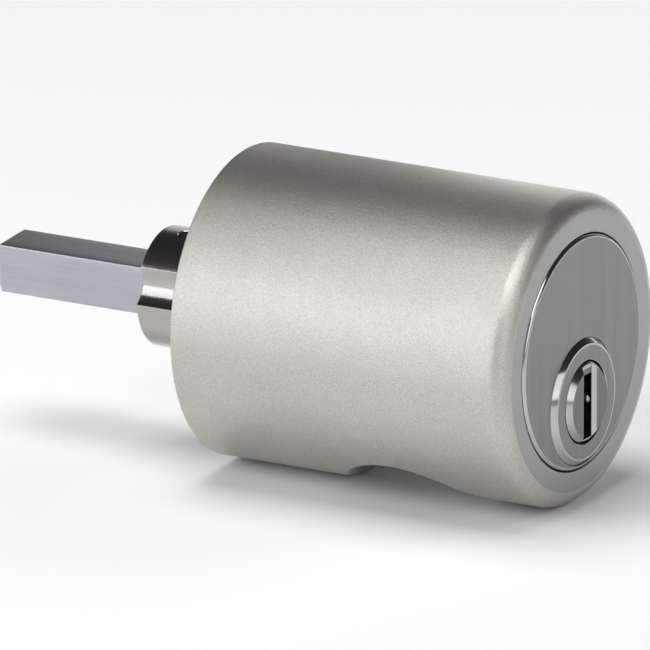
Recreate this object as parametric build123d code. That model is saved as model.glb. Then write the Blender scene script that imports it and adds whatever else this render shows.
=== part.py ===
from build123d import *
import math
import os

# A round lever-free door knob that holds a half cylinder lock of the euro profile.
# Frame: the knob's axis is Y, the key side looks to -Y, the spindle leaves to +Y and Z is up.
# The origin is where the axis crosses the plane of the knob's rear rim.

# ---- driving dimensions, mm and degrees ----
knob_dia = 50.0            # outside of the knob
knob_length = 60.0         # rear rim to front ring face
front_round = 3.0          # soft edge round the front ring face
rear_break = 0.3           # small break of the rear edge
notch_radius = 15.9        # transverse scoop under the knob, for the finger
notch_depth = 7.1          # depth of the scoop below the knob's surface
notch_from_front = 24.8    # front ring face to the scoop's deepest line

ring_width = 5.95          # ring face and soft edge outside the disk's recess
disk_thick = 3.2
disk_proud = 0.3           # how far the disk stands out of the ring face
disk_gap = 0.2             # open joint all round the satin disk that closes the front
disk_edge_round = 0.55

collar_dia = 20.4          # hardened collar round the plug
collar_proud = 1.0         # collar's face ahead of the ring face
collar_chamfer = 0.8
collar_gap = 0.3           # open joint between plug and collar

profile_head_dia = 17.0    # euro profile: round head, narrow web, overall height
profile_web = 10.0
profile_height = 33.0
pocket_gap = 0.1           # all round the profile in its pocket

plug_dia = 12.8
plug_proud = 0.7           # plug's face ahead of the collar's face
plug_chamfer = 0.85
plug_shoulder = 0.8        # step of the shoulder that keeps the plug from being pushed through
plug_shoulder_length = 1.2
keyway_width = 3.0
keyway_above = 4.6         # keyway's reach above and below the plug's axis
keyway_below = 5.9
keyway_bevel = 0.6         # lead-in along both sides of the keyway
keyway_end_wall = 1.6      # metal left behind the keyway

most_pins = 5
pin_dia = 2.9
pin_pitch = 4.2
first_pin_from_body_face = 3.2
pin_wall = 0.45            # between the last pin's chamber and the fixing screw
key_pin_tip_above_axis = 1.2
driver_pin_length = 5.0
pin_spring_wire = 0.4
pin_spring_coils = 7
most_side_pins = 5
side_pin_dia = 1.5
side_pin_reach = 0.35      # tip's reach into the keyway
side_pin_length = 4.0
first_side_pin_from_face = 1.6
drill_pin_dia = 1.5
drill_pin_sunk = 3.16      # pin's top below the rounded tail over it

plug_tail_dia = 8.0        # rear end of the plug, with two flats, which carries the cam
plug_tail_flats = 6.6
cam_thick = 4.6
cam_top_radius = 7.8       # cam's radius under the follower with the plug at rest
cam_room = 6.05            # from the half cylinder's body to the coupling's room
cam_turn = 90.0            # plug's travel
cam_lead = 15.0            # how far the rise is carried past both ends of the travel
follower_pin_dia = 3.0
bolt_travel = 2.2          # drop of the coupling bolt over the plug's travel

bolt_web = 4.6             # width of the bolt's arm, which enters the dog ring
arm_roof_gap = 1.4         # room over the bolt's arm
bolt_spring_dia = 2.6
bolt_spring_wire = 0.4
bolt_spring_coils = 9

hub_dia = 19.4
hub_length = 15.0          # rear rim to the hub's end
flute_count = 2
flute_angle = 166.5        # first flute, from +X towards +Z
flute_radius = 4.3
flute_depth = 1.67
flute_start = 3.0          # rear rim to the flutes' inner end
hub_edge_break = 0.25
foot_relief = 0.2          # hub's plain foot is this much smaller in radius than its boss
hub_step = 1.7             # hub's outer shoulder, down to its journal inside the knob
spigot_wall = 1.07         # round the square hole at the hub's inner end
spigot_flat_depth = 0.6    # each of the two flats that carry the dog ring
grub_dia = 2.5
grub_angle = 100.0         # grub screw in the hub, from +X towards +Z
grub_from_end = 4.6        # hub's end to the grub screw's axis
grub_sink = 0.8            # screw's outer end below the hub's surface

bar_side = 8.0             # square spindle
bar_reach = 44.0           # rear rim to the spindle's end
bar_turn = 4.0             # square's turn about the axis, from upright
bar_end_chamfer = 0.8
bar_corner_break = 0.3
bar_hole_gap = 0.05        # each side of the bar in the hub

dog_ring_wall = 1.1        # under the notches
dog_ring_thick = 5.5
dog_count = 8
dog_notch_width = 5.0
dog_notch_depth = 2.5
dog_gap = 0.3              # bolt's clearance over the ring when it is drawn back

bush_wall = 2.5
plate_rim = 3.0            # knob's wall outside the back plate that closes its rear
plate_thick = 3.7
plate_sunk = 0.3           # back plate's face below the rear rim
boss_wall = 2.4            # boss of the back plate round the bush
boss_front = 12.1          # rear rim to the boss's inner face
cavity_wall = 8.0          # knob's wall round the coupling, behind the half cylinder
cavity_front = 24.0        # rear rim to the cavity's front wall
plate_screw_count = 4
plate_screw_dia = 3.0
plate_screw_length = 10.0
plate_screw_from_edge = 2.6
washer_thick = 0.8
clip_thick = 0.8
clip_depth = 0.5           # groove depth of both retaining rings

fixing_screw_dia = 4.0
fixing_head_dia = 6.8
fixing_head_height = 3.8
fixing_head_gap = 0.2
fixing_from_body_end = 2.6
fixing_height = 8.0        # screw's height above the knob's axis
fixing_tip = 3.5           # screw's reach past the knob's middle plane

running_gap = 0.05         # radial clearance of everything that turns or slides
seat_gap = 0.05            # gap between pieces that sit face to face
screw_gap = 0.05           # radial gap of plain shanks standing for threads

# ---- places worked out from the sizes ----
knob_r = knob_dia / 2
disk_dia = knob_dia - 2 * ring_width - 2 * disk_gap
plate_dia = knob_dia - 2 * plate_rim
cavity_dia = knob_dia - 2 * cavity_wall
plate_screw_circle = plate_dia - 2 * plate_screw_from_edge
collar_hole_dia = plug_dia + 2 * collar_gap
plug_shoulder_dia = plug_dia + 2 * plug_shoulder
front_y = -knob_length
profile_top = profile_height / 2
plug_z = profile_head_dia / 2 - profile_height / 2
web_round_z = profile_top - profile_web / 2
disk_back_y = front_y - disk_proud + disk_thick
body_front_y = disk_back_y + seat_gap
body_back_y = -cavity_front - cam_room
collar_front_y = front_y - collar_proud
plug_front_y = collar_front_y - plug_proud
plug_back_y = body_back_y
cam_front_y = plug_back_y + 0.2
cam_back_y = cam_front_y + cam_thick
cam_clip_y = cam_back_y + seat_gap
plug_tail_end_y = cam_clip_y + clip_thick + 0.7
fixing_y = body_back_y - fixing_from_body_end
follower_r = follower_pin_dia / 2
follower_z = plug_z + cam_top_radius + follower_r + 0.03
journal_dia = hub_dia - 2 * hub_step
spigot_dia = math.sqrt(2) * (bar_side + 2 * bar_hole_gap) + 2 * spigot_wall
spigot_flats = spigot_dia - 2 * spigot_flat_depth
dog_ring_dia = spigot_dia + 2 * dog_ring_wall + 2 * dog_notch_depth
arm_low = dog_ring_dia / 2 + dog_gap
bolt_front_y = cam_front_y + 0.3
spigot_y = -boss_front - seat_gap - washer_thick - seat_gap
dog_back_y = spigot_y - seat_gap
dog_front_y = dog_back_y - dog_ring_thick
dog_clip_y = dog_front_y - seat_gap - clip_thick
spigot_end_y = dog_clip_y - 0.8
hub_shoulder_y = plate_sunk
washer_y = -plate_sunk + seat_gap
bush_r = journal_dia / 2 + running_gap
boss_dia = 2 * (bush_r + bush_wall + seat_gap + boss_wall)


def along_y(radius, start, end, x=0.0, z=0.0):
    """Round bar parallel to the knob's axis."""
    bar = Cylinder(radius, end - start)
    return Pos(x, (start + end) / 2, z) * Rot(90, 0, 0) * bar


def along_x(radius, start, end, y, z):
    bar = Cylinder(radius, end - start)
    return Pos((start + end) / 2, y, z) * Rot(0, 90, 0) * bar


def along_z(radius, start, end, x, y):
    bar = Cylinder(radius, end - start)
    return Pos(x, y, (start + end) / 2) * bar


def block(x0, x1, y0, y1, z0, z1):
    middle = Pos((x0 + x1) / 2, (y0 + y1) / 2, (z0 + z1) / 2)
    return middle * Box(x1 - x0, y1 - y0, z1 - z0)


def tube(outer, inner, start, end, x=0.0, z=0.0):
    return along_y(outer, start, end, x, z) - along_y(inner, start - 1, end + 1, x, z)


def turned(shape, angle):
    """Turns a shape about the knob's axis, from +X towards +Z."""
    return Rot(0, -angle, 0) * shape


def circle_edges(shape, y, radius):
    """Circular edges of one radius in one plane across the axis."""
    found = shape.edges().filter_by(GeomType.CIRCLE)
    at_plane = [e for e in found if abs(e.arc_center.Y - y) < 1e-4]
    return [e for e in at_plane if abs(e.radius - radius) < 1e-4]


def euro_profile(grow, start, end):
    """Head, web and rounded tail of the euro profile, web upward, grown by a gap."""
    head = along_y(profile_head_dia / 2 + grow, start, end, z=plug_z)
    half_web = profile_web / 2 + grow
    web = block(-half_web, half_web, start, end, plug_z, web_round_z)
    tail = along_y(half_web, start, end, z=web_round_z)
    return head + web + tail


def flatted(radius, flats, start, end, x=0.0, z=0.0):
    """Round bar with two flats, upright."""
    bar = along_y(radius, start, end, x, z)
    return bar & block(x - flats / 2, x + flats / 2, start - 1, end + 1, z - radius - 1, z + radius + 1)


def square_bar_shape(side, start, end):
    bar = block(-side / 2, side / 2, start, end, -side / 2, side / 2)
    return bar


def coil_spring(outer_dia, wire, coils, low, high, x, y):
    """Round-wire compression spring standing upright."""
    mean = (outer_dia - wire) / 2
    height = high - low - wire
    path = Helix(pitch=height / coils, height=height, radius=mean)
    section = Plane(path @ 0, z_dir=path % 0) * Circle(wire / 2)
    return Pos(x, y, low + wire / 2) * sweep(section, path=path, is_frenet=True)


def row(first, last, most):
    """Places at the pin pitch, as many as fit."""
    count = min(most, math.floor((last - first) / pin_pitch) + 1)
    return [first + n * pin_pitch for n in range(count)]


def pin_places():
    last = fixing_y - fixing_screw_dia / 2 - pin_dia / 2 - pin_wall
    return row(body_front_y + first_pin_from_body_face, last, most_pins)


def side_pin_places():
    last = plug_back_y - keyway_end_wall - side_pin_dia
    return row(plug_front_y + first_side_pin_from_face, last, most_side_pins)


def retaining_ring(shaft_dia, y, x=0.0, z=0.0):
    """Open retaining ring in a groove of a shaft, its gap at the bottom."""
    inner = shaft_dia / 2 - clip_depth + 0.03
    ring = tube(inner + 1.3, inner, y, y + clip_thick, x, z)
    gap = block(x - 1.2, x + 1.2, y - 1, y + clip_thick + 1, z - inner - 3, z)
    return ring - gap


def groove(shaft_dia, y, x=0.0, z=0.0):
    outer = shaft_dia / 2 + 1
    return tube(outer, shaft_dia / 2 - clip_depth, y - 0.02, y + clip_thick + 0.02, x, z)


# ---- spindle group: what the door turns ----
def square_bar():
    bar = square_bar_shape(bar_side, spigot_end_y + 0.5, bar_reach)
    end_face = bar.faces().sort_by(Axis.Y)[-1]
    bar = chamfer(end_face.edges(), bar_end_chamfer)
    corners = [e for e in bar.edges().filter_by(Axis.Y) if e.length > bar_side]
    bar = chamfer(corners, bar_corner_break)
    return turned(bar, bar_turn)


def hub():
    """Boss with a plain round foot; the flutes run from the foot to the end."""
    foot = along_y(hub_dia / 2 - foot_relief, hub_shoulder_y + seat_gap, flute_start)
    boss = along_y(hub_dia / 2, flute_start, hub_length)
    boss = chamfer(circle_edges(boss, hub_length, hub_dia / 2), hub_edge_break)
    centre = hub_dia / 2 - flute_depth + flute_radius
    for n in range(flute_count):
        cutter = along_y(flute_radius, flute_start - 1, hub_length + 1, x=centre)
        boss -= turned(cutter, flute_angle + n * 360 / flute_count)
    boss -= turned(grub_hole(), grub_angle)
    journal = along_y(journal_dia / 2, spigot_y, hub_shoulder_y + seat_gap)
    spigot = flatted(spigot_dia / 2, spigot_flats, spigot_end_y, spigot_y)
    inner = journal + spigot - groove(spigot_dia, dog_clip_y)
    hole = square_bar_shape(bar_side + 2 * bar_hole_gap, spigot_end_y - 1, hub_length + 1)
    return foot + boss + inner - turned(hole, bar_turn)


def grub_hole():
    return along_x(grub_dia / 2 + screw_gap, 0, hub_dia, hub_length - grub_from_end, 0)


def hub_grub_screw():
    """Headless screw with a hexagon socket, bearing on the bar."""
    flat = bar_side / 2 / math.cos(math.radians(grub_angle - 90 - bar_turn)) + 0.75
    outer = hub_dia / 2 - grub_sink
    y = hub_length - grub_from_end
    screw = along_x(grub_dia / 2, flat, outer, y, 0)
    socket = extrude(Plane.YZ * RegularPolygon(grub_dia * 0.25, 6), 2.0)
    screw -= Pos(outer - 1.4, y, 0) * socket
    return turned(screw, grub_angle)


def dog_ring():
    shape = along_y(dog_ring_dia / 2, dog_front_y, dog_back_y)
    shape -= flatted(spigot_dia / 2 + seat_gap, spigot_flats + 2 * seat_gap, dog_front_y - 1, dog_back_y + 1)
    floor_r = dog_ring_dia / 2 - dog_notch_depth
    half = dog_notch_width / 2
    notch = block(-half, half, dog_front_y - 1, dog_back_y + 1, floor_r, dog_ring_dia)
    for n in range(dog_count):
        shape -= turned(notch, n * 360 / dog_count)
    return shape


def dog_clip():
    return retaining_ring(spigot_dia, dog_clip_y)


# ---- knob group: what the hand turns ----
def knob_shell():
    shape = along_y(knob_r, front_y, 0)
    shape = fillet(circle_edges(shape, front_y, knob_r), front_round)
    shape = chamfer(circle_edges(shape, 0, knob_r), rear_break)
    notch_z = -(knob_r - notch_depth) - notch_radius
    notch_y = front_y + notch_from_front
    shape -= along_x(notch_radius, -knob_dia, knob_dia, notch_y, notch_z)
    recess_r = disk_dia / 2 + disk_gap
    shape -= along_y(recess_r, front_y - 1, disk_back_y + seat_gap)
    shape -= euro_profile(pocket_gap, disk_back_y, -cavity_front + 1)
    shape -= along_y(cavity_dia / 2, -cavity_front, 1)
    shape -= along_y(plate_dia / 2 + seat_gap, -plate_sunk - plate_thick - seat_gap, 1)
    shape -= plate_screw_holes(plate_screw_dia / 2 + screw_gap, plate_screw_length + 1)
    shape -= along_x(fixing_screw_dia / 2 + screw_gap, 0, knob_r, fixing_y, fixing_height)
    head_seat = fixing_seat_x()
    head_hole_r = fixing_head_dia / 2 + fixing_head_gap
    shape -= along_x(head_hole_r, head_seat, knob_r + 1, fixing_y, fixing_height)
    return shape


def fixing_seat_x():
    """Seat of the fixing screw's head: the head ends just under the knob's surface."""
    lowest = fixing_height + fixing_head_dia / 2
    return math.sqrt(knob_r**2 - lowest**2) - fixing_head_height - 0.4


def plate_screw_holes(radius, depth):
    holes = []
    for n in range(plate_screw_count):
        hole = along_y(radius, -plate_sunk - depth, 1, x=plate_screw_circle / 2)
        holes.append(turned(hole, 45 + n * 360 / plate_screw_count))
    return Compound(holes)


def front_disk():
    face_y = front_y - disk_proud
    shape = along_y(disk_dia / 2, face_y, disk_back_y)
    shape = fillet(circle_edges(shape, face_y, disk_dia / 2), disk_edge_round)
    return shape - along_y(collar_dia / 2 + seat_gap, face_y - 1, disk_back_y + 1, z=plug_z)


def drill_collar():
    outer = collar_dia / 2
    shape = along_y(outer, collar_front_y, disk_back_y, z=plug_z)
    shape = chamfer(circle_edges(shape, collar_front_y, outer), collar_chamfer)
    return shape - along_y(collar_hole_dia / 2, collar_front_y - 1, disk_back_y + 1, z=plug_z)


def cylinder_body():
    shape = euro_profile(0, body_front_y, body_back_y)
    bore_r = plug_dia / 2 + running_gap
    shape -= along_y(bore_r, body_front_y - 1, body_back_y + 1, z=plug_z)
    shoulder_r = plug_shoulder_dia / 2 + running_gap
    shoulder_end = body_front_y + plug_shoulder_length + seat_gap
    shape -= along_y(shoulder_r, body_front_y - 1, shoulder_end, z=plug_z)
    for y in pin_places():
        shape -= along_z(pin_dia / 2 + running_gap, plug_z, profile_top + 1, 0, y)
    for x in drill_pin_xs():
        shape -= along_z(drill_pin_dia / 2 + seat_gap, drill_pin_low(), profile_top + 1, x, drill_pin_y())
    shape -= along_x(fixing_screw_dia / 2 + screw_gap, -profile_web, profile_web, fixing_y, fixing_height)
    return shape


def cylinder_fixing_screw():
    """Cap screw across the knob that holds the half cylinder by its web."""
    seat = fixing_seat_x()
    shank = along_x(fixing_screw_dia / 2, -fixing_tip, seat, fixing_y, fixing_height)
    head = along_x(fixing_head_dia / 2, seat, seat + fixing_head_height, fixing_y, fixing_height)
    socket = extrude(Plane.YZ * RegularPolygon(fixing_head_dia * 0.25, 6), fixing_head_height)
    return shank + head - Pos(seat + 1.6, fixing_y, fixing_height) * socket


def drill_pin_reach():
    return profile_web / 2 - drill_pin_dia / 2 - 0.9


def drill_pin_xs():
    return [-drill_pin_reach(), drill_pin_reach()]


def drill_pin_y():
    return body_front_y + drill_pin_dia / 2 + 0.5


def drill_pin_low():
    return plug_z + plug_shoulder_dia / 2 + 1.0


def drill_pin_high():
    outer = drill_pin_reach() + drill_pin_dia / 2
    return web_round_z + math.sqrt((profile_web / 2) ** 2 - outer**2) - drill_pin_sunk


def anti_drill_pins():
    low = drill_pin_low()
    high = drill_pin_high()
    return Compound([along_z(drill_pin_dia / 2, low, high, x, drill_pin_y()) for x in drill_pin_xs()])


def driver_pin_low():
    return plug_z + plug_dia / 2 + 0.2


def driver_pins():
    low = driver_pin_low()
    return Compound([along_z(pin_dia / 2, low, low + driver_pin_length, 0, y) for y in pin_places()])


def chamber_plug_low():
    return profile_top - 3.0


def chamber_plugs():
    """Stoppers of the pin chambers, just below the rounded tail."""
    low = chamber_plug_low()
    return Compound([along_z(pin_dia / 2, low, profile_top - 0.5, 0, y) for y in pin_places()])


def pin_springs():
    low = driver_pin_low() + driver_pin_length + seat_gap
    high = chamber_plug_low() - seat_gap
    outer = pin_dia - 0.3
    springs = [coil_spring(outer, pin_spring_wire, pin_spring_coils, low, high, 0, y) for y in pin_places()]
    return Compound(springs)


def back_plate():
    rear = -plate_sunk
    inner = rear - plate_thick
    shape = along_y(plate_dia / 2, inner, rear) + along_y(boss_dia / 2, -boss_front, inner)
    shape -= along_y(bush_r + bush_wall + seat_gap, -boss_front - 1, 1)
    shape -= plate_screw_holes(plate_screw_dia / 2 + screw_gap, plate_thick + 1)
    for n in range(plate_screw_count):
        sink = Cone(screw_head_r() + seat_gap, plate_screw_dia / 2 + screw_gap, screw_head_height())
        sink = Pos(plate_screw_circle / 2, rear - screw_head_height() / 2, 0) * Rot(90, 0, 0) * sink
        shape -= turned(sink, 45 + n * 360 / plate_screw_count)
    return shape


def screw_head_r():
    return min(plate_screw_dia * 0.9, (plate_dia - plate_screw_circle) / 2 - 0.2)


def screw_head_height():
    return screw_head_r() - plate_screw_dia / 2


def back_plate_screws():
    """Countersunk screws with a hexagon socket."""
    rear = -plate_sunk
    height = screw_head_height()
    head = Cone(screw_head_r(), plate_screw_dia / 2, height)
    head = Pos(0, rear - height / 2, 0) * Rot(90, 0, 0) * head
    screw = head + along_y(plate_screw_dia / 2, rear - plate_screw_length, rear - height)
    socket = extrude(Plane.XZ * RegularPolygon(plate_screw_dia * 0.3, 6), 1.6)
    screw -= Pos(0, rear + 0.2, 0) * socket
    screws = []
    for n in range(plate_screw_count):
        screws.append(turned(Pos(plate_screw_circle / 2, 0, 0) * screw, 45 + n * 360 / plate_screw_count))
    return Compound(screws)


def bearing_bush():
    return tube(bush_r + bush_wall, bush_r, -boss_front, -plate_sunk)


def thrust_washer():
    start = -boss_front - seat_gap - washer_thick
    return tube(bush_r + bush_wall + 0.65, bush_r, start, start + washer_thick)


def rear_washer():
    return tube(hub_dia / 2 - 0.2, bush_r, washer_y, hub_shoulder_y)


# ---- plug group: what the key turns ----
def plug():
    plug_r = plug_dia / 2
    shape = along_y(plug_r, plug_front_y, plug_back_y, z=plug_z)
    shape = chamfer(circle_edges(shape, plug_front_y, plug_r), plug_chamfer)
    shoulder_y = body_front_y + seat_gap
    shoulder_end = body_front_y + plug_shoulder_length
    shape += along_y(plug_shoulder_dia / 2, shoulder_y, shoulder_end, z=plug_z)
    shape += flatted(plug_tail_dia / 2, plug_tail_flats, plug_back_y - 0.5, plug_tail_end_y, z=plug_z)
    shape -= groove(plug_tail_dia, cam_clip_y, z=plug_z)
    low = plug_z - keyway_below
    high = plug_z + keyway_above
    half = keyway_width / 2
    keyway_end = plug_back_y - keyway_end_wall
    shape -= block(-half, half, plug_front_y - 1, keyway_end, low, high)
    shape -= keyway_lead_in()
    for y in pin_places():
        shape -= along_z(pin_dia / 2 + running_gap, plug_z + key_pin_tip_above_axis, plug_z + plug_r + 1, 0, y)
    for y in side_pin_places():
        end = half + side_pin_length + seat_gap
        shape -= along_x(side_pin_dia / 2 + seat_gap, 0, end, y, plug_z)
    return shape


def keyway_lead_in():
    """V groove across the plug's face, wider than the keyway by the bevel on each side."""
    half = keyway_width / 2
    wide = half + keyway_bevel + 0.5
    outline = Polyline(
        (-wide, plug_front_y - 0.5),
        (-half, plug_front_y + keyway_bevel),
        (half, plug_front_y + keyway_bevel),
        (wide, plug_front_y - 0.5),
        close=True,
    )
    groove_shape = extrude(make_face(outline), plug_dia)
    return Pos(0, 0, plug_z - plug_dia / 2) * groove_shape


def key_pins():
    """Round-nosed pins, level with the plug's surface as a fitting key would set them."""
    r = pin_dia / 2
    low = plug_z + key_pin_tip_above_axis
    high = plug_z + math.sqrt((plug_dia / 2) ** 2 - r**2) - 0.03
    pins = []
    for y in pin_places():
        pin = along_z(r, low, high, 0, y)
        bottom = pin.edges().filter_by(GeomType.CIRCLE).sort_by(Axis.Z)[0]
        pins.append(chamfer(bottom, r * 0.5))
    return Compound(pins)


def side_pins():
    """Ball-ended pins in the keyway's side wall."""
    r = side_pin_dia / 2
    start = keyway_width / 2 - side_pin_reach
    end = keyway_width / 2 + side_pin_length
    pins = []
    for y in side_pin_places():
        stem = along_x(r, start + r, end, y, plug_z)
        pins.append(stem + Pos(start + r, y, plug_z) * Sphere(r))
    return Compound(pins)


def snail_cam():
    """Cam whose rise is even, so that the follower drops in step with the plug's turn."""
    drop_per_radian = bolt_travel / math.radians(cam_turn)
    centre_r = cam_top_radius + follower_r

    def flank(angle):
        # the follower's centre runs on an even spiral; the flank lies a follower radius inside
        a = math.radians(angle)
        r = centre_r - drop_per_radian * a
        out = Vector(-math.sin(a), math.cos(a))
        side = Vector(-math.cos(a), -math.sin(a))
        along = (side * r - out * drop_per_radian).normalized()
        inward = Vector(-along.Y, along.X)
        return out * r + inward * follower_r

    # the round side joins both ends of the spiral on the side that the follower never meets
    steps = 16
    sweep_angle = cam_turn + 2 * cam_lead
    points = [flank(-cam_lead + sweep_angle * n / steps) for n in range(steps + 1)]
    first, last = points[0], points[-1]
    base_r = last.length
    middle = math.radians(90 + (cam_turn + 360) / 2)
    corner = first.normalized() * base_r
    edge = Spline(*points)
    round_side = ThreePointArc(last, (base_r * math.cos(middle), base_r * math.sin(middle)), corner)
    step = Line(corner, first)
    face = make_face(Curve() + [edge, round_side, step])
    # the outline's own X and Y are the knob's X and Z
    body = extrude(Plane((0, cam_front_y, plug_z), x_dir=(1, 0, 0), z_dir=(0, -1, 0)) * face, -cam_thick)
    hole = flatted(plug_tail_dia / 2 + seat_gap, plug_tail_flats + 2 * seat_gap,
                   cam_front_y - 1, cam_back_y + 1, z=plug_z)
    return body - hole


def cam_clip():
    return retaining_ring(plug_tail_dia, cam_clip_y, z=plug_z)


# ---- coupling bolt: drops into the dog ring when the key is turned ----
def pocket_ceiling(x):
    """Height of the pocket's rounded end over a point beside the middle plane."""
    return web_round_z + math.sqrt((profile_web / 2 + pocket_gap) ** 2 - x**2)


def bolt_top():
    return min(pocket_ceiling(bolt_web / 2) - arm_roof_gap, cavity_dia / 2 - arm_roof_gap)


def coupling_bolt():
    half = profile_web / 2
    foot_low = follower_z - 0.35
    guide_back = -cavity_front - 0.2
    foot = block(-half, half, bolt_front_y, guide_back, foot_low, web_round_z - 0.1)
    arm = block(-bolt_web / 2, bolt_web / 2, bolt_front_y, dog_back_y, arm_low, bolt_top())
    neck = block(-bolt_web / 2, bolt_web / 2, bolt_front_y, guide_back, foot_low, bolt_top())
    shape = foot + neck + arm
    shape -= along_y(follower_r + 0.01, bolt_front_y - 1, guide_back + 1, z=follower_z)
    shape -= along_z(bolt_spring_dia / 2 + 0.2, bolt_spring_low(), bolt_top() + 1, 0, bolt_spring_y())
    return shape


def follower_pin():
    return along_y(follower_r, bolt_front_y, -cavity_front - 0.2, z=follower_z)


def bolt_spring_low():
    return arm_low - 2.5


def bolt_spring_y():
    return (bolt_front_y - cavity_front) / 2


def bolt_spring():
    low = bolt_spring_low() + seat_gap
    high = pocket_ceiling(bolt_spring_dia / 2) - seat_gap
    return coil_spring(bolt_spring_dia, bolt_spring_wire, bolt_spring_coils, low, high, 0, bolt_spring_y())


pieces = {
    "square_bar": square_bar,
    "hub": hub,
    "hub_grub_screw": hub_grub_screw,
    "dog_ring": dog_ring,
    "dog_ring_clip": dog_clip,
    "knob_shell": knob_shell,
    "front_disk": front_disk,
    "drill_collar": drill_collar,
    "cylinder_body": cylinder_body,
    "cylinder_fixing_screw": cylinder_fixing_screw,
    "anti_drill_pins": anti_drill_pins,
    "driver_pins": driver_pins,
    "pin_springs": pin_springs,
    "chamber_plugs": chamber_plugs,
    "back_plate": back_plate,
    "back_plate_screws": back_plate_screws,
    "bearing_bush": bearing_bush,
    "thrust_washer": thrust_washer,
    "rear_washer": rear_washer,
    "plug": plug,
    "key_pins": key_pins,
    "side_pins": side_pins,
    "snail_cam": snail_cam,
    "cam_clip": cam_clip,
    "coupling_bolt": coupling_bolt,
    "follower_pin": follower_pin,
    "bolt_spring": bolt_spring,
}

os.makedirs("parts", exist_ok=True)
for name, make in pieces.items():
    shape = make()
    export_step(shape, f"parts/{name}.step")
    print(name, "volume", round(sum(s.volume for s in shape.solids())))
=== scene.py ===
import math

import bmesh
import bpy
import mathutils
import numpy as np
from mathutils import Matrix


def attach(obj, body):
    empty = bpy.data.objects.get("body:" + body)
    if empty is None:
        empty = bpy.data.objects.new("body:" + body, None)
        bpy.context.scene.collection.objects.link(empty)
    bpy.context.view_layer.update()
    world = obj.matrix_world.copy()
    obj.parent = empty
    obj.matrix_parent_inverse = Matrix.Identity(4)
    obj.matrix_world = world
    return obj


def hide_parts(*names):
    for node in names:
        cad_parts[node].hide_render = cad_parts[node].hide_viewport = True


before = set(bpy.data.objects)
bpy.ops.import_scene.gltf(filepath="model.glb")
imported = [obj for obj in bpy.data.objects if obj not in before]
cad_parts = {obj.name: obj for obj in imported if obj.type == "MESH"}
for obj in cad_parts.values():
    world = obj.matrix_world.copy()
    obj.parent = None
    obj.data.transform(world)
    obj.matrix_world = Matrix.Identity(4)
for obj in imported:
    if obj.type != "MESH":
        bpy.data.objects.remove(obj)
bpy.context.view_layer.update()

# lengths below are millimetres and angles degrees, in the CAD frame: the knob's axis is Y,
# the key side looks to -Y, angles run from +X towards +Z; meshes are written in metres
mm = 0.001
weldDistance = 0.0002  # patches that share an edge are joined along it
hair = 0.001  # kept between the end of an arc and the next corner
farAway = 60.0  # farther from the knob's axis than any piece reaches
tiny = 1e-9  # keeps a division away from zero
straightTurn = 0.01  # radians, a corner that turns less stays as it is
plugHeight = -8.0  # the plug's axis lies this far above the knob's axis


def turnAbout(points, angle):
    # turns points about the knob's axis from +X towards +Z: (x cos - z sin, y, x sin + z cos)
    a = math.radians(angle)
    x, y, z = points[..., 0], points[..., 1], points[..., 2]
    return np.stack([x * math.cos(a) - z * math.sin(a), y, x * math.sin(a) + z * math.cos(a)], -1)


def roundAngles(count):
    # even angles once round, without the last one that meets the first
    return np.linspace(0, 360, count + 1)[:-1]


def lathe(profile, angles, height=0.0):
    # each profile point (radius, y) goes round the axis: (r cos a, y, r sin a + height)
    a = np.radians(angles)[None, :]
    r = np.asarray(profile, float)[:, 0][:, None]
    y = np.asarray(profile, float)[:, 1][:, None] + 0 * a
    return np.stack([r * np.cos(a), y, r * np.sin(a) + height], -1)


def ringRow(radius, y, angles, height=0.0):
    # one circle of points round the axis
    return lathe([(radius, y)], angles, height)[0]


def radialRows(radii, ys, angles):
    # rows of points at their own radius for every angle: (r(a) cos a, y, r(a) sin a)
    a = np.radians(angles)[None, :]
    r, y, a = np.broadcast_arrays(np.asarray(radii, float), np.asarray(ys, float), a)
    return np.stack([r * np.cos(a), y, r * np.sin(a)], -1)


def softCorners(corners, radii, steps=5):
    # polyline whose corners become arcs: each arc starts and ends r * tan(turn / 2) from its corner
    corners = [np.array(c, float) for c in corners]
    out = [corners[0]]
    for k in range(1, len(corners) - 1):
        here, radius = corners[k], radii[k - 1]
        before = (corners[k - 1] - here) / np.linalg.norm(corners[k - 1] - here)
        after = (corners[k + 1] - here) / np.linalg.norm(corners[k + 1] - here)
        turn = math.pi - math.acos(float(np.clip(before @ after, -1, 1)))
        if radius <= 0 or turn < straightTurn:
            out.append(here)
            continue
        middle = (before + after) / np.linalg.norm(before + after)
        centre = here + middle * radius / math.cos(turn / 2)
        start = here + before * radius * math.tan(turn / 2) - centre
        end = here + after * radius * math.tan(turn / 2) - centre
        t = np.linspace(0, 1, steps + 1)[:, None]
        arc = (np.sin((1 - t) * turn) * start + np.sin(t * turn) * end) / math.sin(turn)
        out.extend(centre + arc)
    out.append(corners[-1])
    return np.array(out)


def softLower(a, b, width):
    # the lower of two heights, eased over a width where they cross
    h = np.clip(width - np.abs(a - b), 0, None) / width
    return np.minimum(a, b) - h * h * width / 4


def centreRow(point, cols):
    # one point repeated for a whole row, which closes a flat end
    return np.tile(np.array(point, float), (1, cols, 1))


def mixRows(first, last, steps):
    # rows on straight lines from one row of points to another
    t = np.linspace(0, 1, steps + 1)[:, None, None]
    return first[None] * (1 - t) + last[None] * t


def gridQuads(rows, cols, start, leftOut=None):
    # quads between neighbouring rows and columns; the last column meets the first
    j = np.arange(cols)
    i = np.arange(rows - 1)[:, None]
    a = start + i * cols + j
    b = start + i * cols + (j + 1) % cols
    quads = np.stack([a, b, b + cols, a + cols], -1)
    keep = np.ones(quads.shape[:2], bool)
    if leftOut is not None:
        rowFrom, rowTo, colFrom, colTo = leftOut
        keep[rowFrom:rowTo, colFrom:colTo] = False
    return quads[keep]


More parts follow.
